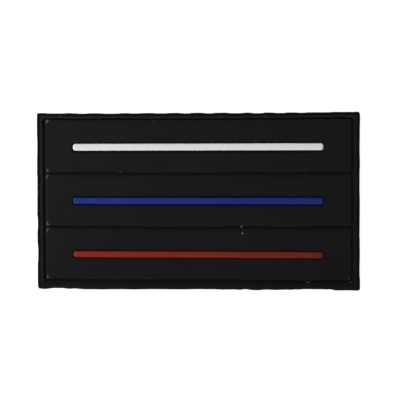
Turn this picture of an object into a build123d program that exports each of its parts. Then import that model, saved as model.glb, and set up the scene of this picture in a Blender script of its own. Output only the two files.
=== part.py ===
from build123d import *
import os

# A moulded flag patch: one black soft-plastic moulding with a raised rim and three raised
# panels, a coloured line set into each panel, and a hook-fastener backing bonded to its back.
#
# The patch lies face up on its hooks. The origin is the middle of the outline, on the surface
# that it rests on. +X runs along the lines, +Y towards the white line, +Z out of the face.
# All lengths are in millimetres.

# Outline of the moulding, at the foot of its side wall
patch_length = 90.4
patch_height = 49.6
outline_radius = 0.6
wall_draft = 0.28            # how far the side wall leans in from foot to top

# Widths of the rim, from the outline to the groove. They differ, as the patch is trimmed out of
# its sheet a little off centre.
rim_left = 2.18
rim_right = 1.78
rim_top = 1.60
rim_bottom = 2.53
rim_inner_radius = 0.6
rim_outer_fillet = 0.35
rim_inner_fillet = 0.15

# Panels, with a groove round each of them
line_colours = ("white", "blue", "red")      # from the top panel down
groove_width = 0.70
groove_draft = 0.08          # how far each groove wall leans back
panel_radius = 0.9
panel_fillet = 0.15

# Coloured lines, each set into a slot in its panel
line_length = 69.6
line_width = 1.92
line_end_radius = 0.6
line_shift = 0.04            # how far the line lies to the right of its panel's middle
line_drop = 0.25             # how far it lies below the middle
line_fillet = 0.25
line_proud = 0.40            # how far the line stands above its panel
slot_depth = 0.40            # less than panel_rise, so that it ends within the panel
slot_mouth_chamfer = 0.18
bond_gap = 0.03              # between pieces that are bonded to each other

# Thicknesses of the moulding
sheet_thickness = 1.55       # from the back to the floor of the grooves
panel_rise = 0.46            # from the floor of the grooves to the top of the panels
rim_rise = 0.52              # from the floor of the grooves to the top of the rim

# Hook-fastener backing
tape_inset = 1.2             # from the outline of the moulding to the edge of the tape
tape_thickness = 0.50
tape_radius = 1.0
hook_inset = 0.5             # from the edge of the tape to the outermost hooks
hook_height = 1.00

# Levels
tape_top = hook_height + tape_thickness
body_bottom = tape_top + bond_gap
groove_floor = body_bottom + sheet_thickness
panel_top = groove_floor + panel_rise
rim_level = groove_floor + rim_rise
slot_floor = panel_top - slot_depth
line_top = panel_top + line_proud

# The pocket inside the rim, measured at the floor of the grooves
pocket_length = patch_length - rim_left - rim_right
pocket_height = patch_height - rim_top - rim_bottom
pocket_x = (rim_left - rim_right) / 2
pocket_y = (rim_bottom - rim_top) / 2

# The panels inside the pocket
panel_count = len(line_colours)
panel_length = pocket_length - 2 * groove_width
panel_height = (pocket_height - (panel_count + 1) * groove_width) / panel_count
panel_pitch = panel_height + groove_width


def drafted_block(length, height, radius, low, high, lean):
    """A block with round corners, whose walls lean in by lean from low to high."""
    foot = Pos(0, 0, low) * RectangleRounded(length, height, radius)
    head = Pos(0, 0, high) * RectangleRounded(length - 2 * lean, height - 2 * lean, radius)
    return loft([foot, head])


def plain_block(length, height, radius, low, high):
    """A block with round corners and upright walls."""
    return Pos(0, 0, low) * extrude(RectangleRounded(length, height, radius), high - low)


def top_face(shape):
    """The highest face of shape."""
    return shape.faces().sort_by(Axis.Z)[-1]


def panel_place(index):
    """Where the middle of a panel lies. Panel 0 is the top one."""
    return Pos(pocket_x, pocket_y + ((panel_count - 1) / 2 - index) * panel_pitch, 0)


def rim_and_sheet():
    """The back sheet with the rim round it, and the pocket that the panels stand in."""
    block = drafted_block(
        patch_length, patch_height, outline_radius, body_bottom, rim_level, wall_draft
    )
    block = fillet(top_face(block).edges(), rim_outer_fillet)
    pocket = drafted_block(
        pocket_length, pocket_height, rim_inner_radius, groove_floor, rim_level, -groove_draft
    )
    rimmed = block - Pos(pocket_x, pocket_y, 0) * pocket
    return fillet(top_face(rimmed).inner_wires()[0].edges(), rim_inner_fillet)


def line_place(index):
    """Where the middle of a line lies."""
    return panel_place(index) * Pos(line_shift, -line_drop, 0)


def panel(index):
    """One raised panel with a slot for its line."""
    raised = drafted_block(
        panel_length, panel_height, panel_radius, groove_floor, panel_top, groove_draft
    )
    raised = panel_place(index) * fillet(top_face(raised).edges(), panel_fillet)
    slot = plain_block(
        line_length + 2 * bond_gap,
        line_width + 2 * bond_gap,
        line_end_radius + bond_gap,
        slot_floor,
        panel_top,
    )
    slotted = raised - line_place(index) * slot
    return chamfer(top_face(slotted).inner_wires()[0].edges(), slot_mouth_chamfer)


def moulded_body():
    """The black moulding: sheet, rim and panels in one piece."""
    body = rim_and_sheet()
    for index in range(panel_count):
        body += panel(index)
    return body


def coloured_line(index):
    """One line, bedded in its panel's slot and standing proud of the panel."""
    bar = plain_block(line_length, line_width, line_end_radius, slot_floor + bond_gap, line_top)
    return line_place(index) * fillet(top_face(bar).edges(), line_fillet)


def hook_backing():
    """The fastener tape with its field of hooks, as the outer form that the hooks fill."""
    tape_length = patch_length - 2 * tape_inset
    tape_height = patch_height - 2 * tape_inset
    tape = plain_block(tape_length, tape_height, tape_radius, hook_height, tape_top)
    hooks = plain_block(
        tape_length - 2 * hook_inset, tape_height - 2 * hook_inset, tape_radius, 0, hook_height
    )
    return tape + hooks


def write(node, shape):
    """Writes one node as one STEP file."""
    shape.label = node
    export_step(shape, f"parts/{node}.step")


os.makedirs("parts", exist_ok=True)
write("moulded_body", moulded_body())
for number, colour in enumerate(line_colours):
    write(f"{colour}_line", coloured_line(number))
write("hook_backing", hook_backing())
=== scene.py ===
import math
import random

import bpy
import numpy as np
from mathutils import Matrix, Vector, noise
from mathutils.geometry import delaunay_2d_cdt


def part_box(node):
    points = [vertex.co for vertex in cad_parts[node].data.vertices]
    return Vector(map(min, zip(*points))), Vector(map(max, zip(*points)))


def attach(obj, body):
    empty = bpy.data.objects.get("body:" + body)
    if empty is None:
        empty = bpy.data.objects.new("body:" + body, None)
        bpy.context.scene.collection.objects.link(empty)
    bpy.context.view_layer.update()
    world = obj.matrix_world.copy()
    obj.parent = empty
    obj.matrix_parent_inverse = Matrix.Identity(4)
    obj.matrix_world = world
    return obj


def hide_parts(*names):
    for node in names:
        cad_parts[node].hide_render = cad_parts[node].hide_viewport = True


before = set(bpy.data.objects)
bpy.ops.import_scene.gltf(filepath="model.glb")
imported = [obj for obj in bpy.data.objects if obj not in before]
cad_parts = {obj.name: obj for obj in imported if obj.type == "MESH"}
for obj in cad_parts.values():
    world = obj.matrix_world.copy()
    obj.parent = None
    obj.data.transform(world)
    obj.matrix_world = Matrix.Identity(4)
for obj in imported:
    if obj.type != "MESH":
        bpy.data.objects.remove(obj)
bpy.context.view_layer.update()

# A moulded flag patch lying face up on its hooks: one black moulding with a raised rim and three
# panels, a coloured line set into each panel, and a tape of small hooks bonded to its back.
#
# Lengths are in millimetres in the part's own frame, and become metres where an object is made.
# Back is where the white line lies, at +Y.
MM = 0.001


def box_mm(node):
    """A CAD node's lowest and highest corners, in millimetres."""
    return [np.array(corner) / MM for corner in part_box(node)]


body_low, body_high = box_mm("moulded_body")
tape_low, tape_high = box_mm("hook_backing")

# The patch's sides, as directions seen from above
RIGHT = (1, 0)
BACK = (0, 1)
LEFT = (-1, 0)
FRONT = (0, -1)

# The rim, with its widths from the outline to the groove
rim_left = 2.18
rim_right = 1.78
rim_top = 1.60
rim_bottom = 2.53
rim_rise = 0.52  # above the floor of the grooves
rim_creep = 0.31  # how far the rim behind the top panel reaches into its groove
rim_step = 0.04  # how much lower the rim's trimmed edge is than its inner part
outline_radius = 0.86
wall_lean = 0.12
wall_fillet = 0.22  # along the rim's outer top edge
back_edge = 0.10  # broken off the moulding's lower edge
pocket_radius = 0.6

# The rim's painted dark border and its step, across the rim from its outer edge, as shares of its width
border_end = 0.55
right_border_cut = 0.15  # how much sooner the border ends on the right
border_sharpness = 6.0  # how quickly its painted shade ends there
step_lead = 0.18  # how far before the border's end the step begins
step_run = 0.30

# The panels and their grooves
panel_radius = 0.55
panel_rise = 0.46  # above the floor of the grooves
groove_width = 0.70
groove_draft = 0.08  # how far a groove's wall leans back
groove_fillet = 0.055  # along the grooves' top edges
left_fillet = 0.02  # the same along the edges that face left
foot_fillet = 0.10  # along the bottom of the grooves
back_creep = 0.10  # how far each panel reaches into the groove behind it
fall_reach = 1.1  # how far from its back edge a panel's face begins to fall
side_fall_reach = 0.65  # and from its front and left edges

# How far each panel's face falls towards its back, front and left edges, from the top panel down
face_falls = ((0.06, 0.06, 0.00), (0.18, 0.06, 0.04), (0.18, 0.03, 0.03))

# The facets on the panels' left corners, and the size of each panel's back and front facet against
# these lengths, from the top panel down
facet_reach_x = 0.95  # along the panels' long sides
facet_reach_y = 1.30  # and along their short sides
facet_drop = 0.25  # how deep the facets are at the corners
facet_sizes = ((0.75, 1.0), (1.0, 1.0), (1.1, 0.9))
least_wall = 0.02  # what they leave of the groove's wall above its foot

# The slots and the coloured lines, from the top panel down
line_colours = ("white", "blue", "red")
slot_depth = 0.40
slot_mouth = 0.26  # how deep the slot's mouth is rounded
mouth_back = 0.26  # how far it is rounded back, behind the line
mouth_front = 0.50  # and in front of it
mouth_shade_reach = 0.28  # how far its painted shade reaches beyond that
bond_gap = 0.03
line_radius = 0.75
line_edge_width = 0.36  # the line's rounded edge, seen from above
line_edge_depth = 0.34  # and from the side
line_crown = 0.03  # how much lower the line's edges are than its middle

# Unevenness left by moulding and trimming
trim_wave = 0.02  # how far the trimmed outline wanders
trim_wave_length = 2.6
flare_reach = 2.4  # how far from a corner the outline swells out to it
bite_flank = 1.6  # how steep the flanks of the blade's bites are
groove_wave = 0.03  # how far the panels' edges wander
groove_wave_length = 3.2
chip_wave = 0.04  # and how finely they are chipped
chip_wave_length = 1.1
panel_wave = 0.012  # how far the panels' faces rise and fall
panel_wave_length = 11.0
line_wave = 0.04
line_wave_length = 6.0

# Seeds of that unevenness. Each panel and line adds its own number to its seed.
TRIM_SEED = 3.1
FACE_SEED = 20.0
EDGE_SEED = 40.0
CHIP_SEED = 50.0
LINE_SEED = 60.0
SHADE_SEED = 70.0
HOOK_SEED = 41
NOISE_GAIN = 1.8  # spreads Blender's noise over the whole range from -1 to 1

# Strengths of the marks that the materials read, from 0 to 1
border_shade = 0.95  # painted dark border on the rim, but for the front
front_rim_shade = 0.6  # painted shade at the inner edge of the front rim
right_rim_shade = 0.5  # painted shade at the inner edge of the right rim
rim_edge_cut = 0.3  # how rough the rim's rounded edge is, against its cut walls
back_rim_rub = 0.40  # how rough the rim's ridge is at the back
right_rim_rub = 0.15  # and on the right
panel_back_shade = 3.0  # painted shade at a panel's back edge, for each millimetre that its face falls
mouth_shade = 0.9  # painted shade at the outer edge of the slots' mouths
mouth_creep = 0.5  # how much of a line's colour crept there
facet_wear = 0.10  # how smooth the facets are rubbed
facet_onset = 4.0  # how quickly the wear sets in within them
line_front_shade = 0.6  # how much further over its front edge a line's painted shading reaches
foot_shade = 0.15  # painted shade at the foot of all the grooves' walls
wall_shades = ((LEFT, 0.45), (FRONT, 0.85), (BACK, 0.65))  # and more painted shade by where a wall faces
shade_change = 0.2  # how much of that painted shade comes and goes
shade_change_length = 1.6  # along which it does

# The hook tape
web_bottom = 1.0  # the level of the woven web's underside
web_radius = 1.0  # of the web's corners
web_edge = 0.12  # broken off the web's upper edges
rib_pitch = 0.62
rib_depth = 0.09
hook_pitch_x = 1.42
hook_pitch_y = 1.48
hook_inset = 0.5  # from the tape's edge to the outermost hooks
hook_curl = 0.30  # radius of the hook's bend, to the middle of its wire
hook_wire = 0.09  # radius of the wire
hook_root = 0.06  # how deep a hook's foot is sunk in the web
hook_tip = 0.8  # how thick the wire's tip is, against the rest
hook_stagger = 0.25  # how far columns are shifted either way, as a share of the pitch
hook_turn = 11  # degrees that a hook is turned either way, at the most
hook_shrink = 0.07  # how much shorter the shortest hooks are

# Levels
groove_floor = body_high[2] - rim_rise
rim_edge_top = body_high[2] - rim_step
panel_top = groove_floor + panel_rise
slot_floor = panel_top - slot_depth

# How finely the rings are divided: along the long sides, the short sides and each corner
RIM_COUNTS = (176, 96, 8)
PANEL_COUNTS = (200, 36, 10)
LINE_COUNTS = (190, 6, 10)
crowding = 0.45  # how much closer together the points lie at a side's ends

# How finely the surfaces are divided from ring to ring
BACK_INSETS = (8.0, 2.0)  # of the rings across the back, from the outline
WALL_STEPS = 4
FILLET_STEPS = 6
FOOT_STEPS = 3
CROWN_STEPS = 12
MOUTH_STEPS = 4
FALL_SHARES = (0.12, 0.26, 0.42, 0.60, 0.80)  # across the fall at a panel's edge
FACE_SHARES = (0.0, 0.05, 0.12, 0.22, 0.34, 0.47, 0.60, 0.72, 0.83, 0.91, 0.97, 1.0)  # on to its slot
LINE_TOP_SHARES = (0.5, 1.0)
WEB_STATIONS = 12
WEB_CORNER_STEPS = 4
RIB_POINTS = 4
HOOK_SIDES = 5
BEND_DEGREES = (215, 250, 285, 320, 350)

# Edges bent by more than this are shaded sharp
SHARP_DEGREES = 38
HOOK_SHARP_DEGREES = 50

FILL_INSIDE = 1  # Blender's way of filling that keeps the faces inside the loops alone
FILL_PRECISION = 1e-7


def smooth(value):
    """Eases a share from 0 to 1, for a number or an array."""
    value = np.clip(value, 0.0, 1.0)
    return value * value * (3 - 2 * value)


def wander(points, length, seed):
    """Smooth noise from about -1 to 1 at each point, with bumps about length apart."""
    values = [noise.noise(Vector((x / length, y / length, seed))) for x, y in points[:, :2]]
    return np.clip(NOISE_GAIN * np.array(values), -1, 1)


def crowded_shares(count):
    """Shares from 0 up to, but without, 1, which lie closer together towards both ends."""
    even = np.arange(count) / count
    return even - crowding * np.sin(2 * math.pi * even) / (2 * math.pi)


def quarter_turn(steps):
    """The cosine and sine at each step from 0 to 90 degrees."""
    for step in range(steps + 1):
        angle = step / steps * math.pi / 2
        yield math.cos(angle), math.sin(angle)


def add_object(name, data):
    """A new object in the scene, which holds a mesh, a lamp or a camera."""
    thing = bpy.data.objects.new(name, data)
    bpy.context.scene.collection.objects.link(thing)
    return thing


def add_mesh(name, points, faces, material):
    """A new mesh in the scene, from points in millimetres."""
    mesh = bpy.data.meshes.new(name)
    mesh.from_pydata((np.array(points) * MM).tolist(), [], faces)
    mesh.materials.append(material)
    return add_object(name, mesh)


def shade_smooth(piece, sharp_degrees):
    """Shades a piece smooth between its sharp edges."""
    piece.data.shade_smooth()
    piece.data.set_sharp_from_angle(angle=math.radians(sharp_degrees))


class Ring:
    """Points round a rectangle with round corners, anticlockwise from the middle of its right side."""

    def __init__(self, centre, half, radius, z, counts):
        self.centre = np.array(centre, float)
        self.half = np.array(half, float)
        self.radius = radius
        self.z = z
        long_count, short_count, arc_count = counts
        long_shares = crowded_shares(long_count)
        short_shares = crowded_shares(short_count)
        half_count = short_count // 2
        inner = self.half - radius
        self.places = []
        self.normals = []
        right_side = ((self.half[0], -inner[1]), (self.half[0], inner[1]))
        self.side(*right_side, short_shares[half_count:], RIGHT)
        self.corner(inner, 0, arc_count)
        self.side((inner[0], self.half[1]), (-inner[0], self.half[1]), long_shares, BACK)
        self.corner(inner * (-1, 1), 1, arc_count)
        self.side((-self.half[0], inner[1]), (-self.half[0], -inner[1]), short_shares, LEFT)
        self.corner(-inner, 2, arc_count)
        self.side((-inner[0], -self.half[1]), (inner[0], -self.half[1]), long_shares, FRONT)
        self.corner(inner * (1, -1), 3, arc_count)
        self.side(*right_side, short_shares[:half_count], RIGHT)
        self.places = np.array(self.places) + self.centre
        self.normals = np.array(self.normals)

    def side(self, start, end, shares, normal):
        """Adds the points of a straight side at shares of its length."""
        for share in shares:
            self.places.append(np.array(start) + (np.array(end) - start) * share)
            self.normals.append(normal)

    def corner(self, centre, quarter, count):
        """Adds the points of a quarter circle, without its last one."""
        for step in range(count):
            angle = (quarter + step / count) * math.pi / 2
            normal = np.array((math.cos(angle), math.sin(angle)))
            self.places.append(centre + self.radius * normal)
            self.normals.append(tuple(normal))

    def points(self, inset=0.0, z=None):
        """The ring moved inwards by inset and set at z. Both may differ from point to point."""
        count = len(self.places)
        inset = np.broadcast_to(inset, count)
        height = np.broadcast_to(self.z if z is None else z, count)
        return np.column_stack([self.places - self.normals * inset[:, None], height])

    def facing(self, direction):
        """How squarely the ring faces a direction at each point, from 0 to 1."""
        return np.clip(self.normals @ direction, 0, 1) ** 2


class Skin:
    """Gathers the points and faces of one closed mesh, with marks that its material reads."""

    # Facets rubbed smooth, painted shade in hollows and on borders (a painted highlight on the white line),
    # rough places left by a blade or by rubbing, and places that a line's colour crept onto
    MARKS = ("worn", "deep", "cut", "crept")

    def __init__(self):
        self.points = []
        self.faces = []
        self.marks = {mark: [] for mark in self.MARKS}

    def ring(self, points, **marks):
        """Adds a ring of points and returns their numbers."""
        first = len(self.points)
        self.points.extend(points)
        for mark in self.MARKS:
            self.marks[mark].extend(np.broadcast_to(marks.get(mark, 0.0), len(points)))
        return list(range(first, len(self.points)))

    def bands(self, rings):
        """Faces between each ring and the next, facing out when the next lies above or inside."""
        for first, second in zip(rings, rings[1:]):
            count = len(first)
            for here in range(count):
                after = (here + 1) % count
                self.faces.append((first[here], first[after], second[after], second[here]))

    def fill(self, outer, holes=(), upwards=True):
        """Faces inside a flat ring, around the rings of its holes."""
        loops = [outer, *holes]
        numbers = [number for loop in loops for number in loop]
        owner = [index for index, loop in enumerate(loops) for _ in loop]
        edges = []
        for loop in loops:
            start = len(edges)
            edges.extend((start + here, start + (here + 1) % len(loop)) for here in range(len(loop)))
        flat = [Vector(self.points[number][:2]) for number in numbers]
        filling = delaunay_2d_cdt(flat, edges, [], FILL_INSIDE, FILL_PRECISION)
        faces, sources = filling[2:4]
        for face in faces:
            corners = [sources[corner][0] for corner in face]
            owners = {owner[corner] for corner in corners}
            if len(owners) == 1 and owners != {0}:
                continue
            face = [numbers[corner] for corner in corners]
            self.faces.append(face if upwards else face[::-1])

    def make(self, name, material):
        """The finished object with its marks."""
        piece = add_mesh(name, self.points, self.faces, material)
        for mark, values in self.marks.items():
            layer = piece.data.attributes.new(mark, "FLOAT", "POINT")
            layer.data.foreach_set("value", np.array(values, np.float32))
        shade_smooth(piece, SHARP_DEGREES)
        return piece


def rounded_edge(skin, ring, radius, inset, top, **marks):
    """Rings up a convex edge, from the top of a wall to the flat above it."""
    rings = []
    for cosine, sine in quarter_turn(FILLET_STEPS):
        points = ring.points(inset + radius * (1 - cosine), top - radius * (1 - sine))
        rings.append(skin.ring(points, **marks))
    return rings


def groove_foot(skin, ring, side, shift):
    """Rings round the foot of a wall, from its top down: side is 1 at the rim and -1 at a panel."""
    # Painted shade at the foot of the walls, stronger by where a wall faces, and changing along it
    shading_share = foot_shade + sum(shade_level * ring.facing(np.multiply(way, -side)) for way, shade_level in wall_shades)
    shading_share *= 1 - shade_change + shade_change * wander(ring.places, shade_change_length, SHADE_SEED)
    rings = []
    for cosine, sine in quarter_turn(FOOT_STEPS):
        inset = shift + side * foot_fillet * (1 - cosine)
        height = groove_floor + foot_fillet * (1 - sine)
        rings.append(skin.ring(ring.points(inset, height), deep=shading_share))
    return rings


def groove_edge_fillet(facing_left):
    """The radius of the grooves' top edges, by how squarely they face left."""
    return groove_fillet + (left_fillet - groove_fillet) * facing_left


# How the trimming blade cut each side: how far it stayed inside the moulding's box at the side's
# low end, along the side and at its high end, and then its bites as rows of place along the side,
# half width and depth. A bite of negative depth is a swelling. The places run along +X or +Y.
cuts = {
    BACK: ((0.0, 0.12, 0.02), (
        (-43.4, 1.6, -0.12), (-36.0, 1.2, -0.08), (-32.2, 2.0, 0.09), (-24.0, 3.4, 0.13), (-17.2, 2.2, 0.09),
        (-10.0, 2.6, 0.10), (-3.1, 1.9, 0.16), (3.4, 1.9, 0.15), (10.8, 2.9, 0.14), (16.9, 2.3, 0.18),
        (23.1, 2.2, 0.13), (29.0, 1.6, 0.08), (38.8, 2.4, -0.08), (43.0, 3.0, -0.08),
    )),
    FRONT: ((0.10, 0.19, 0.17), (
        (-45.4, 1.4, 0.22), (-42.8, 0.9, -0.10), (-39.0, 3.0, 0.18), (-34.2, 1.3, 0.08), (-29.0, 5.2, -0.12),
        (-20.5, 7.5, -0.08), (2.0, 6.0, 0.10), (9.4, 2.2, 0.06), (13.6, 1.1, 0.17), (16.6, 1.5, -0.08),
        (19.8, 2.0, 0.07), (24.6, 2.6, 0.08), (27.1, 0.8, 0.12), (32.3, 6.4, 0.28), (37.0, 1.0, 0.15),
    )),
    LEFT: ((0.32, 0.31, 0.36), (
        (-25.0, 1.1, 0.20), (15.3, 3.0, 0.05), (8.2, 0.9, -0.06), (7.0, 0.8, 0.06), (5.0, 1.6, 0.06),
        (2.6, 0.9, 0.08), (-3.7, 0.8, -0.08), (-5.9, 3.0, 0.12), (-14.6, 3.4, 0.16),
    )),
    RIGHT: ((0.0, 0.12, 0.14), (
        (16.8, 5.5, 0.06), (5.2, 5.4, 0.07), (-8.4, 5.0, 0.04), (-10.8, 1.0, -0.05), (-14.6, 2.4, -0.04),
        (-22.6, 2.2, -0.12),
    )),
}


def trimming(outline):
    """How far the trimmed edge lies inside the outline, at each of its points."""
    inset = trim_wave * wander(outline.places, trim_wave_length, TRIM_SEED)
    for direction, ((low_end, along_side, high_end), bites) in cuts.items():
        axis = np.abs(direction[::-1])
        along = outline.places @ axis
        reach = (outline.half @ axis - np.abs(along)) / flare_reach
        end = np.where(along < 0, low_end, high_end)
        depth = along_side + (end - along_side) * (1 - smooth(reach))
        for place, half_width, bite in bites:
            depth = depth + bite * smooth(bite_flank * (1 - np.abs(along - place) / half_width))
        inset = inset + outline.facing(direction) * depth
    return np.maximum(inset, 0)


# The course of each groove, from the one behind the top panel to the one before the bottom panel,
# as rows of place along the patch and how far the groove lies behind its even place there
groove_courses = (
    ((-38.0, 0.30), (-35.0, 0.10), (-24.0, 0.20), (1.0, 0.06), (6.5, 0.16), (10.0, 0.00), (13.8, 0.15),
     (19.5, 0.15), (26.0, 0.16), (38.0, 0.28)),
    ((-42.0, -0.05), (-37.5, 0.08), (-31.0, 0.15), (-25.0, 0.02), (-22.4, 0.05), (-21.2, -0.12),
     (-20.2, -0.02), (3.5, -0.05), (16.6, 0.14), (18.5, -0.02), (30.0, 0.10), (41.0, 0.18)),
    ((-42.0, -0.18), (-39.0, 0.02), (-33.0, -0.12), (-24.0, 0.06), (-18.0, -0.14), (6.0, -0.10),
     (12.0, 0.09), (16.6, 0.08), (23.0, -0.12), (31.0, 0.06), (38.0, 0.18)),
    ((-42.0, -0.05), (-37.0, 0.16), (-32.0, -0.08), (-17.0, -0.18), (-5.0, -0.06), (3.0, 0.04),
     (14.0, 0.00), (29.0, -0.15), (40.0, 0.12)),
)

# The same for the upright groove at the left: places up the patch, and how far it lies to the right
left_course = ((-22.0, 0.12), (0.0, 0.055), (22.0, 0.03))


def groove_course(index, places):
    """How far a groove lies behind its even place, at each of the places."""
    return np.interp(places[:, 0], *zip(*groove_courses[index]))


def left_groove_course(places):
    """How far the left groove lies to the right of its even place, at each of the places."""
    return np.interp(places[:, 1], *zip(*left_course))


def pocket_rect():
    """The middle and the half sizes of the pocket inside the rim, at its foot."""
    low_corner = body_low[:2] + (rim_left, rim_bottom)
    high_corner = body_high[:2] - (rim_right, rim_top)
    return (low_corner + high_corner) / 2, (high_corner - low_corner) / 2


def pocket_course(pocket):
    """How far each point of the pocket's wall lies outside its even place."""
    course = (groove_course(0, pocket.places) - rim_creep) * pocket.facing(BACK)
    course -= groove_course(-1, pocket.places) * pocket.facing(FRONT)
    course -= left_groove_course(pocket.places) * pocket.facing(LEFT)
    return course


def back_and_walls(skin, outline, trim):
    """Rings from the middle of the moulding's back out to its edge and up its side walls."""
    rings = []
    for back_inset in BACK_INSETS:
        back = Ring((0, 0), outline.half - back_inset, outline_radius, body_low[2], RIM_COUNTS)
        rings.append(skin.ring(back.points()))
    skin.fill(rings[0], upwards=False)
    rings.append(skin.ring(outline.points(back_edge + trim), cut=1.0))
    wall_low = body_low[2] + back_edge
    wall_high = rim_edge_top - wall_fillet
    for step in range(WALL_STEPS):
        share = step / WALL_STEPS
        height = wall_low + (wall_high - wall_low) * share
        rings.append(skin.ring(outline.points(wall_lean * share + trim, height), cut=1.0))
    return rings


def rim_crown(skin, outline, outer_edge, inner_edge):
    """Rings over the rim from its outer to its inner edge: a painted dark border, a step and a ridge."""
    front = outline.facing(FRONT)
    right = outline.facing(RIGHT)
    border = border_end - right_border_cut * right
    rubbed = back_rim_rub * outline.facing(BACK) + right_rim_rub * right
    rings = []
    for step in range(1, CROWN_STEPS):
        share = step / CROWN_STEPS
        across = outer_edge + (inner_edge - outer_edge) * share
        stepped = smooth((share - border + step_lead) / step_run)
        rounded = 1 - (1 - share) ** 2
        across[:, 2] += rim_step * (stepped + (rounded - stepped) * front)
        # A painted dark border along the rim's outer part, and painted shade at the front rim's inner edge
        outer_shade = border_shade * (1 - front) * np.clip(border_sharpness * (border - share), 0, 1)
        shade_level = np.maximum(front_rim_shade * front * share, outer_shade)
        rings.append(skin.ring(across, deep=shade_level, cut=rubbed * stepped))
    return rings


def rim(skin):
    """The moulding from the middle of its back, up and over the rim. Returns the foot of the groove."""
    half = (body_high[:2] - body_low[:2]) / 2
    outline = Ring((0, 0), half, outline_radius, body_low[2], RIM_COUNTS)
    trim = trimming(outline)
    rings = back_and_walls(skin, outline, trim)
    # A painted dark border on the rim's rounded outer edge, but for the front
    marks = {"cut": rim_edge_cut, "deep": border_shade * (1 - outline.facing(FRONT))}
    rings.extend(rounded_edge(skin, outline, wall_fillet, wall_lean + trim, rim_edge_top, **marks))

    pocket = Ring(*pocket_rect(), pocket_radius, groove_floor, RIM_COUNTS)
    course = pocket_course(pocket)
    # The pocket's walls face inwards, so the one at its right faces left
    facing_left = pocket.facing(RIGHT)
    fillet = groove_edge_fillet(facing_left)
    outer_edge = outline.points(wall_lean + wall_fillet + trim, rim_edge_top)
    inner_edge = pocket.points(-groove_draft - fillet - course, rim_edge_top)
    rings.extend(rim_crown(skin, outline, outer_edge, inner_edge))
    for cosine, sine in quarter_turn(FILLET_STEPS):
        outset = groove_draft + fillet * (1 - sine) + course
        points = pocket.points(-outset, body_high[2] - fillet * (1 - cosine))
        # Painted shade over the right rim's inner edge, which faces the lamps
        rings.append(skin.ring(points, deep=right_rim_shade * facing_left * cosine))
    rings.extend(groove_foot(skin, pocket, 1, -course))
    skin.bands(rings)
    return rings[-1]


def panel_rect(index):
    """The middle and the half sizes of a panel, at its foot. Panel 0 is the top one."""
    centre, pocket_half = pocket_rect()
    count = len(line_colours)
    pitch = (2 * pocket_half[1] - groove_width) / count
    half = np.array([pocket_half[0] - groove_width, (pitch - groove_width) / 2])
    return centre + (0, ((count - 1) / 2 - index) * pitch), half


def panel_course(foot, index):
    """How far each point of a panel's foot lies inside its even place."""
    shift = groove_wave * wander(foot.places, groove_wave_length, EDGE_SEED + index)
    shift += chip_wave * wander(foot.places, chip_wave_length, CHIP_SEED + index)
    shift -= (back_creep + groove_course(index, foot.places)) * foot.facing(BACK)
    shift += groove_course(index + 1, foot.places) * foot.facing(FRONT)
    shift += left_groove_course(foot.places) * foot.facing(LEFT)
    return shift


def cut_corners(skin, first, centre, half, back_size, front_size):
    """Cuts a facet off each left corner of a panel, through the skin's points from first on."""
    points = np.array(skin.points[first:])
    away = half - groove_draft - np.abs(points[:, :2] - centre)
    size = np.where(points[:, 1] > centre[1], back_size, front_size)
    share = np.clip(1 - (away[:, 0] / facet_reach_x + away[:, 1] / facet_reach_y) / size, 0, 1)
    share[points[:, 0] > centre[0]] = 0
    lowest = groove_floor + foot_fillet + least_wall
    lowered = np.maximum(points[:, 2] - facet_drop * size * share, lowest)
    points[:, 2] = np.minimum(points[:, 2], lowered)
    skin.points[first:] = list(points)
    worn = smooth(facet_onset * share)
    skin.marks["worn"][first:] = facet_wear * worn
    # The painted shading fades out over the facets
    skin.marks["deep"][first:] = np.array(skin.marks["deep"][first:]) * (1 - worn)


def slot(skin, index, face_edge):
    """Rings over a panel's face to the mouth of its slot and down to the slot's floor."""
    line_low, line_high = box_mm(f"{line_colours[index]}_line")
    slot_half = (line_high[:2] - line_low[:2]) / 2 + bond_gap
    slot_centre = (line_high[:2] + line_low[:2]) / 2
    edge = Ring(slot_centre, slot_half, line_radius + bond_gap, slot_floor, PANEL_COUNTS)
    mouth = mouth_back + (mouth_front - mouth_back) * edge.facing(FRONT)
    mouth_edge = edge.points(-mouth - mouth_shade_reach, panel_top)
    rings = []
    for share in FACE_SHARES:
        across = face_edge + (mouth_edge - face_edge) * share
        swell = math.sqrt(math.sin(share * math.pi))
        across[:, 2] += panel_wave * swell * (wander(across, panel_wave_length, FACE_SEED + index) - 1)
        rings.append(skin.ring(across))
    for cosine, sine in quarter_turn(MOUTH_STEPS):
        points = edge.points(-mouth * (1 - sine), panel_top - slot_mouth * (1 - cosine))
        # Painted shade in the slot's mouth, deepest down at the slot
        shade_level = mouth_shade + (1 - mouth_shade) * sine
        creep = mouth_creep + (1 - mouth_creep) * sine
        rings.append(skin.ring(points, deep=shade_level, crept=creep))
    rings.append(skin.ring(edge.points(), deep=1.0, crept=1.0))
    return rings


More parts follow.
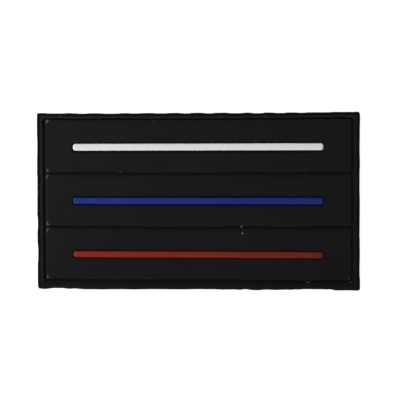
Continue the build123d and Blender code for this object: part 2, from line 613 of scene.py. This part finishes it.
def panel(skin, index):
    """A panel from its foot, over its face and down into its slot. Returns its foot."""
    centre, half = panel_rect(index)
    foot = Ring(centre, half, panel_radius, groove_floor, PANEL_COUNTS)
    shift = panel_course(foot, index)
    rings = groove_foot(skin, foot, -1, shift)[::-1]

    to_back, to_front, to_left = face_falls[index]
    back_fall = to_back * foot.facing(BACK)
    side_fall = to_front * foot.facing(FRONT) + to_left * foot.facing(LEFT)
    # Painted shade along the panel's back edge, as strong as its face falls there
    shading_share = panel_back_shade * back_fall
    fillet = groove_edge_fillet(foot.facing(LEFT))
    inset = groove_draft + shift
    first = len(skin.points)
    edge_top = panel_top - back_fall - side_fall
    rings.extend(rounded_edge(skin, foot, fillet, inset, edge_top, deep=shading_share))
    brink = foot.points(inset + fillet)
    inner_half = half - groove_draft - fall_reach
    face_edge = Ring(centre, inner_half, panel_radius, panel_top, PANEL_COUNTS).points()
    for share in FALL_SHARES:
        across = brink + (face_edge - brink) * share
        side_share = min(share * fall_reach / side_fall_reach, 1)
        across[:, 2] = panel_top - back_fall * (1 - share) ** 2 - side_fall * (1 - side_share) ** 2
        rings.append(skin.ring(across, deep=shading_share * (1 - share)))
    cut_corners(skin, first, centre, half, *facet_sizes[index])

    rings.extend(slot(skin, index, face_edge))
    skin.bands(rings)
    skin.fill(rings[-1])
    return rings[0]


# Small faults that stand up from the moulding or are sunk in it: x, y, width and height
blemishes = (
    (-21.20, 7.95, 0.40, 0.24),  # a lump across the upper groove
    (12.45, -6.90, 0.30, 0.30),  # a scrap of flash in the lower groove
    (30.90, -22.20, 0.40, 0.40),  # flash in the bottom groove
    (-38.04, 23.72, 0.30, 0.10),  # nicks along the rim
    (-42.84, 23.74, 0.28, 0.10),
    (0.01, 23.57, 0.40, 0.05),
    (7.20, 23.54, 0.50, 0.05),
    (19.20, 23.49, 0.45, 0.05),
    (39.63, 23.68, 0.30, 0.06),
    (-43.40, 6.30, 0.45, -0.14),
    (-44.10, -3.50, 0.45, 0.06),
    (42.15, -21.28, 0.22, 0.10),
    (42.74, -22.24, 0.22, 0.10),
    (26.30, 7.75, 0.40, -0.35),  # chips out of the grooves' edges
    (29.70, 7.75, 0.50, -0.35),
    (-12.60, 22.80, 0.45, -0.35),
    (5.90, 22.75, 0.45, -0.35),
    (-13.80, -21.90, 0.50, -0.35),
    (0.80, 7.90, 0.45, -0.35),
)


def add_blemishes(skin):
    """Raises or sinks the moulding's upper side round each blemish."""
    points = np.array(skin.points)
    upper = points[:, 2] > groove_floor - bond_gap
    for x, y, width, height in blemishes:
        away = np.hypot(points[:, 0] - x, points[:, 1] - y)
        rise = height * np.exp(-(away / width) ** 2)
        limit = body_high[2] if height > 0 else groove_floor
        room = np.clip((limit - points[:, 2]) / height, 0, 1)
        points[upper, 2] += (rise * room)[upper]
    skin.points = list(points)


def moulded_body(material):
    """The black moulding: back, rim, grooves and panels with their slots, as one closed skin."""
    skin = Skin()
    pocket_foot = rim(skin)
    panel_feet = [panel(skin, index) for index in range(len(line_colours))]
    skin.fill(pocket_foot, panel_feet)
    add_blemishes(skin)
    return skin.make("moulded_body_skin", material)


def coloured_line(index, material):
    """One line, from its underside up its walls and over its gently rounded top."""
    colour = line_colours[index]
    line_low, line_high = box_mm(f"{colour}_line")
    half = (line_high[:2] - line_low[:2]) / 2
    base = Ring((line_low[:2] + line_high[:2]) / 2, half, line_radius, line_low[2], LINE_COUNTS)
    top = line_high[2] - line_crown
    uneven = line_wave * (0.5 + 0.5 * wander(base.places, line_wave_length, LINE_SEED + index))
    shade_spread = 1 - line_front_shade * base.facing(FRONT)

    skin = Skin()
    # Painted shading on the line's walls and rounded edge, reaching further over its front edge
    rings = [skin.ring(base.points(), deep=1.0)]
    skin.fill(rings[0], upwards=False)
    rings.append(skin.ring(base.points(0.0, panel_top - slot_mouth), deep=1.0))
    for cosine, sine in quarter_turn(FILLET_STEPS):
        inset = uneven + line_edge_width * (1 - cosine)
        points = base.points(inset, top - line_edge_depth * (1 - sine))
        rings.append(skin.ring(points, deep=cosine ** shade_spread))
    last_inset = line_radius - 2 * line_wave
    for share in LINE_TOP_SHARES:
        inset = line_edge_width + (last_inset - line_edge_width) * share
        fall = ((half[1] - inset) / (half[1] - line_edge_width)) ** 2
        rings.append(skin.ring(base.points(inset + uneven, top + line_crown * (1 - fall))))
    skin.bands(rings)
    skin.fill(rings[-1])
    return skin.make(f"{colour}_line_skin", material)


def web_section(half_y, ribbing):
    """The web's outline across its ribs, seen along +X from its lower left: flat without ribbing."""
    count = round(2 * half_y / rib_pitch) * RIB_POINTS
    points = []
    for step in range(count + 1):
        share = step / count
        wave = 0.5 - 0.5 * math.cos(2 * math.pi * step / RIB_POINTS)
        points.append(((2 * share - 1) * half_y, web_bottom + ribbing * rib_depth * (1 - wave)))
    top = tape_high[2]
    inner_y = half_y - web_edge
    return points + [(half_y, top - web_edge), (inner_y, top), (-inner_y, top), (-half_y, top - web_edge)]


def tube_faces(count, stations):
    """Faces of a tube closed at its ends, which has count points at each of its stations."""
    last = (stations - 1) * count
    faces = []
    for start in range(0, last, count):
        for here in range(count):
            after = (here + 1) % count
            faces.append((start + here, start + count + here, start + count + after, start + after))
    faces.append(tuple(range(count)))
    faces.append(tuple(range(last + count - 1, last - 1, -1)))
    return faces


def web():
    """The woven web that carries the hooks: a ribbed sheet with round corners, sealed flat at its ends."""
    half_x, half_y = (tape_high[:2] - tape_low[:2]) / 2
    inner_x = half_x - web_radius
    stations = []
    for cosine, sine in quarter_turn(WEB_CORNER_STEPS):
        stations.append((inner_x + web_radius * cosine, web_radius * (1 - sine), 0.0))
    stations += [(x, 0.0, 1.0) for x in np.linspace(inner_x, 0, WEB_STATIONS)[1:]]
    stations += [(-x, narrowing, ribbing) for x, narrowing, ribbing in stations[-2::-1]]
    points = []
    for x, narrowing, ribbing in stations:
        scale = 1 - narrowing / half_y
        section = web_section(half_y, ribbing)
        points.extend((x, y * scale, z) for y, z in section)
    return points, tube_faces(len(section), len(stations))


def hook_path():
    """The middle of a hook's wire, as distances along its bend and heights."""
    # The wire's sides are flat, so the bend rests at less than the wire's radius
    bend = hook_wire * math.cos(math.pi / HOOK_SIDES) + hook_curl
    path = [(0.0, web_bottom + hook_root), (0.0, (web_bottom + bend) / 2), (0.0, bend)]
    for degrees in BEND_DEGREES:
        angle = math.radians(degrees)
        path.append((hook_curl * (1 + math.cos(angle)), bend + hook_curl * math.sin(angle)))
    return np.array(path)


def hook_template():
    """Points and faces of one hook at the origin, which bends towards +X."""
    path = hook_path()
    last = len(path) - 1
    points = []
    for step, (along, height) in enumerate(path):
        ahead = path[min(step + 1, last)] - path[max(step - 1, 0)]
        ahead = ahead / np.hypot(*ahead)
        side = np.array([-ahead[1], ahead[0]])
        thickness = hook_wire * (hook_tip if step == last else 1.0)
        for turn in range(HOOK_SIDES):
            angle = 2 * math.pi * turn / HOOK_SIDES
            out = thickness * math.cos(angle)
            points.append((along + out * side[0], thickness * math.sin(angle), height + out * side[1]))
    return np.array(points), tube_faces(HOOK_SIDES, len(path))


def hooks(points, faces, chance):
    """Rows of hooks over the web, every second column bending the other way."""
    template, template_faces = hook_template()
    room = (tape_high[:2] - tape_low[:2]) / 2 - hook_inset - hook_wire
    reach = 2 * hook_curl
    along, across, above = (template - (reach / 2, 0, web_bottom)).T
    columns = int(2 * room[1] / hook_pitch_y)
    rows = int((2 * room[0] - 2 * reach) / hook_pitch_x)
    for column in range(columns + 1):
        y = (column - columns / 2) * hook_pitch_y
        way = 0.0 if column % 2 else math.pi
        stagger = hook_stagger if column % 2 else -hook_stagger
        for row in range(rows + 1):
            x = (row - rows / 2 + stagger) * hook_pitch_x
            turn = way + math.radians(chance.uniform(-hook_turn, hook_turn))
            cosine, sine = math.cos(turn), math.sin(turn)
            placed = np.column_stack([
                x + along * cosine - across * sine,
                y + along * sine + across * cosine,
                web_bottom + above * (1 - chance.uniform(0.0, hook_shrink)),
            ])
            first = len(points)
            points.extend(map(tuple, placed))
            faces.extend(tuple(first + corner for corner in face) for face in template_faces)


def hook_backing(material):
    """The fastener tape: a ribbed web and its field of hooks, as one joined mesh."""
    points, faces = web()
    hooks(points, faces, random.Random(HOOK_SEED))
    piece = add_mesh("hook_backing_skin", points, faces, material)
    shade_smooth(piece, HOOK_SHARP_DEGREES)
    return piece


# Ranges of Blender's noise over which a change is spread
NARROW = (0.35, 0.65)
WIDE = (0.3, 0.7)

SOFT_EDGE = 0.6  # how much of its radius a spot or a grain fills before it fades


class Finish:
    """A Principled material, with short ways to build its procedural detail in the part's frame."""

    def __init__(self, name):
        self.material = bpy.data.materials.new(name)
        self.material.use_nodes = True
        self.nodes = self.material.node_tree.nodes
        self.place = self.add("ShaderNodeTexCoord").outputs["Object"]

    def put(self, value, socket):
        """Links an output to a socket, or sets the socket to a plain value."""
        if isinstance(value, bpy.types.NodeSocket):
            self.material.node_tree.links.new(value, socket)
        else:
            socket.default_value = value

    def set_sockets(self, node, values):
        """Sets sockets of a node, with underscores for the spaces in their names."""
        for name, value in values.items():
            self.put(value, node.inputs[name.replace("_", " ")])

    def add(self, kind, **values):
        """A new node with the sockets that are named set."""
        node = self.nodes.new(kind)
        self.set_sockets(node, values)
        return node

    def shade(self, **values):
        """Sets the sockets that are named on the material's shader."""
        self.set_sockets(self.nodes["Principled BSDF"], values)

    def stretched(self, size, stretch=(1, 1, 1), shift=0.0):
        """The place on the part, scaled so that size is one unit, or stretch times that along each axis."""
        scale = [1 / (size * MM * way) for way in stretch]
        offset = (shift, 2 * shift, 3 * shift)
        node = self.add("ShaderNodeMapping", Vector=self.place, Scale=scale, Location=offset)
        return node.outputs["Vector"]

    def cloud(self, size, detail, stretch=(1, 1, 1), shift=0.0):
        """Noise from 0 to 1 with bumps about size across."""
        place = self.stretched(size, stretch, shift)
        return self.add("ShaderNodeTexNoise", Vector=place, Scale=1.0, Detail=detail).outputs["Fac"]

    def grains(self, pitch, radius, shift):
        """1 in scattered grains that fade out at a radius, about one in each cube of the pitch."""
        node = self.add("ShaderNodeTexVoronoi", Vector=self.stretched(pitch, shift=shift), Scale=1.0)
        return self.span(node.outputs["Distance"], radius / pitch, SOFT_EDGE * radius / pitch)

    def spot(self, x, y, radius):
        """1 at a place on the patch, fading to 0 at a radius round it."""
        flat = self.math("MULTIPLY", self.place, (1, 1, 0), "ShaderNodeVectorMath", "Vector")
        away = self.math("DISTANCE", flat, (x * MM, y * MM, 0), "ShaderNodeVectorMath")
        return self.span(away, radius * MM, SOFT_EDGE * radius * MM)

    def along(self, axis, low, high):
        """0 at one place along an axis of the patch, in millimetres, and 1 at another."""
        node = self.add("ShaderNodeSeparateXYZ", Vector=self.place)
        return self.span(node.outputs[axis], low * MM, high * MM)

    def inside(self, axis, reach, ease):
        """1 within a reach from the middle along an axis, fading out over ease at its end."""
        ahead = self.along(axis, reach, reach - ease)
        return self.times(ahead, self.along(axis, -reach, ease - reach))

    def mark(self, name):
        """One of the marks that the mesh carries."""
        node = self.add("ShaderNodeAttribute")
        node.attribute_name = name
        return node.outputs["Fac"]

    def span(self, value, low, high, new_low=0.0, new_high=1.0):
        """Maps low..high to new_low..new_high, held at both ends."""
        ends = {"From_Min": low, "From_Max": high, "To_Min": new_low, "To_Max": new_high}
        return self.add("ShaderNodeMapRange", Value=value, **ends).outputs["Result"]

    def math(self, operation, first, second, kind="ShaderNodeMath", result="Value"):
        """A sum, a product or the like of two values, or of two vectors in a node of that kind."""
        node = self.add(kind)
        node.operation = operation
        self.put(first, node.inputs[0])
        self.put(second, node.inputs[1])
        return node.outputs[result]

    def times(self, first, second):
        """The product of two values."""
        return self.math("MULTIPLY", first, second)

    def blend(self, first, second, share):
        """A value that holds a share of the second value, and the rest of the first."""
        return self.math("ADD", self.times(first, 1 - share), self.times(second, share))

    def mix(self, share, first, second):
        """A colour between two colours."""
        node = self.add("ShaderNodeMix")
        node.data_type = "RGBA"
        colours = [socket for socket in node.inputs if socket.type == "RGBA"]
        self.put(share, node.inputs["Factor"])
        for value, socket in zip((first, second), colours):
            self.put((*value, 1.0) if isinstance(value, tuple) else value, socket)
        return next(socket for socket in node.outputs if socket.type == "RGBA")

    def tinted(self, colour, tint, where, strength):
        """A colour drawn towards a tint by strength, where a value is 1."""
        return self.mix(self.times(where, strength), colour, tint)

    def bump(self, height, depth, under=None):
        """A surface that rises by depth, in millimetres, where height goes from 0 to 1."""
        node = self.add("ShaderNodeBump", Height=height, Distance=depth * MM)
        if under is not None:
            self.put(under, node.inputs["Normal"])
        return node.outputs["Normal"]


# Colours, as red, green and blue
dark_black = (0.0036, 0.0034, 0.0044)
pale_black = (0.0049, 0.0047, 0.0059)
front_shade_black = (0.0006, 0.0006, 0.0008)  # painted shade: the black darkens towards the front
# Painted shade in hollows and on borders
painted_shade_black = (0.0005, 0.0005, 0.0007)
dust_and_glint_grey = (0.040, 0.040, 0.042)
lint_and_glint_grey = (0.090, 0.090, 0.095)
# The blue line's edge colour, its painted shade, which is also the blue that crept
blue_edge = (0.0008, 0.0030, 0.042)
red_creep = (0.034, 0.0016, 0.0007)

# Pale spots on the patch, lint and dust and painted glints: x, y and the radius of each
lint_and_glints = (
    (12.45, -6.90, 0.41), (12.73, -8.81, 0.37), (30.78, -22.30, 0.20), (31.12, -22.30, 0.20),
    (-38.04, 23.72, 0.23), (42.14, -21.20, 0.16), (42.62, -22.17, 0.18),
)
# Painted glints on its edges, as pale spots, in the same way
painted_glints = (
    (-36.92, 24.10, 0.17), (-21.20, 8.10, 0.26), (-42.84, 23.74, 0.18), (-43.69, 22.75, 0.16),
    (7.20, 23.56, 0.22), (6.40, 23.54, 0.18), (0.00, 23.57, 0.20), (19.10, 23.49, 0.28),
    (39.63, 23.68, 0.16), (42.74, -22.24, 0.17), (42.19, -21.14, 0.16), (41.92, -21.42, 0.16),
    (-43.39, -21.90, 0.16), (-43.78, 7.83, 0.16),
)


def speckled(finish, colour, spots, tint, strength):
    """A colour with a small spot of a tint at each place."""
    for x, y, radius in spots:
        colour = finish.tinted(colour, tint, finish.spot(x, y, radius), strength)
    return colour


def black_pvc():
    """Matt black soft plastic, cloudy and finely grained, with painted shade and glints; smooth on worn
    facets, rough where cut.
    """
    finish = Finish("black_pvc")
    tone = finish.cloud(size=9.0, detail=4)
    mottle = finish.cloud(size=0.8, detail=3, shift=5.0)
    grain = finish.cloud(size=0.13, detail=2, shift=9.0)
    rub = finish.cloud(size=1.1, detail=3, stretch=(9, 1, 1), shift=13.0)
    shear = finish.cloud(size=0.5, detail=3, stretch=(1, 1, 6), shift=21.0)
    dust = finish.grains(pitch=1.5, radius=0.07, shift=2.0)
    worn, deep, cut, crept = (finish.mark(name) for name in Skin.MARKS)

    clouds = finish.span(finish.blend(tone, mottle, share=0.3), *NARROW)
    colour = finish.mix(clouds, dark_black, pale_black)
    # Painted shade: darker towards the front
    colour = finish.tinted(colour, front_shade_black, finish.along("Y", 14, -22), strength=0.3)
    # Painted shade where the mesh is marked for it
    colour = finish.mix(deep, colour, painted_shade_black)
    # The colours that crept are blue in the middle and red at the front. White leaves none.
    crept_colour = finish.mix(finish.along("Y", -6, -8), blue_edge, red_creep)
    colour = finish.mix(finish.times(crept, finish.along("Y", 8, 6)), colour, crept_colour)
    colour = finish.tinted(colour, dust_and_glint_grey, dust, strength=0.5)
    # Lint and dust, and painted glints, as pale spots
    colour = speckled(finish, colour, lint_and_glints, lint_and_glint_grey, strength=0.8)
    # Painted glints, as pale spots
    colour = speckled(finish, colour, painted_glints, dust_and_glint_grey, strength=0.7)

    roughness = finish.span(rub, *WIDE, 0.34, 0.38)
    for where, change in ((worn, -0.22), (deep, -0.13), (cut, 0.16), (dust, 0.2)):
        roughness = finish.math("ADD", roughness, finish.times(where, change))

    normal = finish.bump(finish.times(grain, finish.span(deep, 0.0, 1.0, 1.0, 0.2)), depth=0.012)
    normal = finish.bump(finish.times(shear, cut), 0.10, normal)
    normal = finish.bump(mottle, 0.008, normal)
    finish.shade(Base_Color=colour, Roughness=roughness, Normal=normal, Specular_IOR_Level=0.22)
    return finish.material


# Each line's colour at its left end, at its right end and at its edge, and its roughness. The left end
# is paler as painted light falloff. The edge colour is painted shade, or on the white a painted highlight.
line_finishes = {
    "white": ((0.638, 0.653, 0.643), (0.600, 0.615, 0.610), (0.73, 0.74, 0.73), 0.46),
    "blue": ((0.0070, 0.0215, 0.170), (0.0056, 0.0172, 0.136), blue_edge, 0.42),
    "red": ((0.210, 0.0128, 0.0030), (0.106, 0.0118, 0.0030), (0.026, 0.0015, 0.0006), 0.42),
}
line_fade_reach = 35.0  # from the middle to where the lines' painted light falloff stops


def line_pvc(name, left, right, edge, roughness):
    """Streaked satin soft plastic, with painted light falloff from left to right and painted edge shading.
    """
    finish = Finish(name)
    streak = finish.cloud(size=0.5, detail=3, stretch=(14, 1, 1))
    patchy = finish.cloud(size=5.0, detail=3, shift=4.0)
    grain = finish.cloud(size=0.16, detail=2, shift=7.0)
    specks = finish.grains(pitch=0.9, radius=0.06, shift=3.0)

    # Painted light falloff: paler at the left end, nearer the lamps
    colour = finish.mix(finish.along("X", -line_fade_reach, line_fade_reach), left, right)
    clouds = finish.span(finish.blend(streak, patchy, share=0.4), *NARROW, 0.12, 0.0)
    colour = finish.mix(clouds, colour, edge)
    # Painted shading on the rounded edge: shade on the blue and red lines, a highlight on the white one
    colour = finish.tinted(colour, edge, finish.mark("deep"), strength=0.9)
    colour = finish.tinted(colour, edge, specks, strength=0.35)

    rough = finish.span(patchy, *WIDE, roughness - 0.05, roughness + 0.06)
    normal = finish.bump(streak, 0.014)
    normal = finish.bump(grain, 0.006, normal)
    finish.shade(Base_Color=colour, Roughness=rough, Normal=normal, Specular_IOR_Level=0.25)
    return finish.material


def hook_nylon():
    """Black nylon: a woven web and stiff wire hooks, a little glossy, with lint caught in it."""
    finish = Finish("hook_nylon")
    place = finish.stretched(size=0.45)
    weave = finish.add("ShaderNodeTexWave", Vector=place, Scale=0.5, Distortion=0.6)
    weave.wave_type = "BANDS"
    weave.bands_direction = "X"
    fuzz = finish.cloud(size=0.4, detail=4, stretch=(3, 1, 1))
    tone = finish.cloud(size=6.0, detail=3, shift=3.0)
    dust = finish.grains(pitch=2.2, radius=0.16, shift=5.0)

    colour = finish.mix(finish.span(tone, *NARROW), (0.010, 0.010, 0.011), (0.017, 0.017, 0.019))
    colour = finish.tinted(colour, (0.026, 0.026, 0.028), fuzz, strength=0.4)
    colour = finish.tinted(colour, (0.12, 0.12, 0.125), dust, strength=0.5)
    roughness = finish.span(fuzz, *WIDE, 0.36, 0.52)
    normal = finish.bump(weave.outputs["Fac"], 0.05)
    normal = finish.bump(fuzz, 0.02, normal)
    finish.shade(Base_Color=colour, Roughness=roughness, Normal=normal)
    return finish.material


floor_half = 3000.0
floor_glow = 0.94  # how brightly the paper is lit from below
shadow_ease = 2.0  # over which the glow comes back at the edges of the tape


def floor_material():
    """Clean white paper, lit from below, with a painted shadow where the patch covers it."""
    finish = Finish("studio_paper")
    fleck = finish.cloud(size=3.0, detail=3)
    colour = finish.mix(finish.span(fleck, *WIDE), (0.23, 0.23, 0.23), (0.27, 0.27, 0.27))
    covered = [finish.inside(axis, reach, shadow_ease) for axis, reach in zip("XY", tape_high)]
    # Painted shadow: the glow is dimmed under the patch
    glow = finish.mix(finish.times(*covered), (1.0, 1.0, 1.0), (0.04, 0.04, 0.04))
    finish.shade(Base_Color=colour, Roughness=0.9, Emission_Color=glow, Emission_Strength=floor_glow)
    return finish.material


def studio_floor():
    """A wide sheet of paper under the patch."""
    signs = ((-1, -1), (1, -1), (1, 1), (-1, 1))
    corners = [(x * floor_half, y * floor_half, 0.0) for x, y in signs]
    floor = add_mesh("studio_floor", corners, [(0, 1, 2, 3)], floor_material())


# The lamps: name, place and size in metres, and power in watts
lamps = (
    ("back_left_light", (-0.62, 0.32, 0.46), (0.45, 0.40), 5.9),
    ("front_left_light", (-0.60, -0.36, 0.42), (0.45, 0.40), 4.4),
    ("front_light", (0.05, -0.64, 0.36), (0.60, 0.30), 1.6),
)
room_grey = (0.19, 0.19, 0.20)


def studio_light():
    """Two large soft lamps low on the left, a weaker one in front, and a dim grey room."""
    for name, place, size, watts in lamps:
        lamp = bpy.data.lights.new(name, "AREA")
        lamp.shape = "RECTANGLE"
        lamp.size, lamp.size_y = size
        lamp.energy = watts
        light = add_object(name, lamp)
        light.location = place
        light.rotation_euler = Vector(place).to_track_quat("Z", "Y").to_euler()
    world = bpy.data.worlds.new("studio_room")
    world.use_nodes = True
    background = world.node_tree.nodes["Background"]
    background.inputs["Color"].default_value = (*room_grey, 1.0)
    bpy.context.scene.world = world
    bpy.context.scene.view_settings.view_transform = "Standard"


# The camera, fitted to the patch's outline and grooves in the photograph
camera_distance = 350.0
camera_aim = Vector((0.685, 0.336, 0.0))
camera_lean_x = math.radians(4.277)  # off upright, towards the patch's right end
camera_lean_y = math.radians(1.897)  # off upright, towards its top edge
camera_roll = math.radians(-0.093)
sensor_width = 36.0
picture_width = 400
focal_pixels = 1249.8


def camera():
    """The photograph's camera, nearly straight above the patch."""
    back = Vector((math.sin(camera_lean_x), math.sin(camera_lean_y), 0.0))
    back.z = math.sqrt(1 - back.length_squared)
    right = Vector((0, 1, 0)).cross(back).normalized()
    right.rotate(Matrix.Rotation(camera_roll, 3, back))
    up = back.cross(right)
    lens = bpy.data.cameras.new("photo_camera")
    lens.sensor_width = sensor_width
    lens.lens = focal_pixels * sensor_width / picture_width
    eye = add_object("photo_camera", lens)
    eye.matrix_world = Matrix((right, up, back)).transposed().to_4x4()
    eye.location = (camera_aim + camera_distance * back) * MM
    bpy.context.scene.camera = eye


def fit(piece, node):
    """Lets a piece stand for its CAD node."""
    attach(piece, "root")
    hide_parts(node)


fit(moulded_body(black_pvc()), "moulded_body")
for number, colour_name in enumerate(line_colours):
    plastic = line_pvc(f"{colour_name}_pvc", *line_finishes[colour_name])
    fit(coloured_line(number, plastic), f"{colour_name}_line")
fit(hook_backing(hook_nylon()), "hook_backing")

studio_floor()
studio_light()
camera()
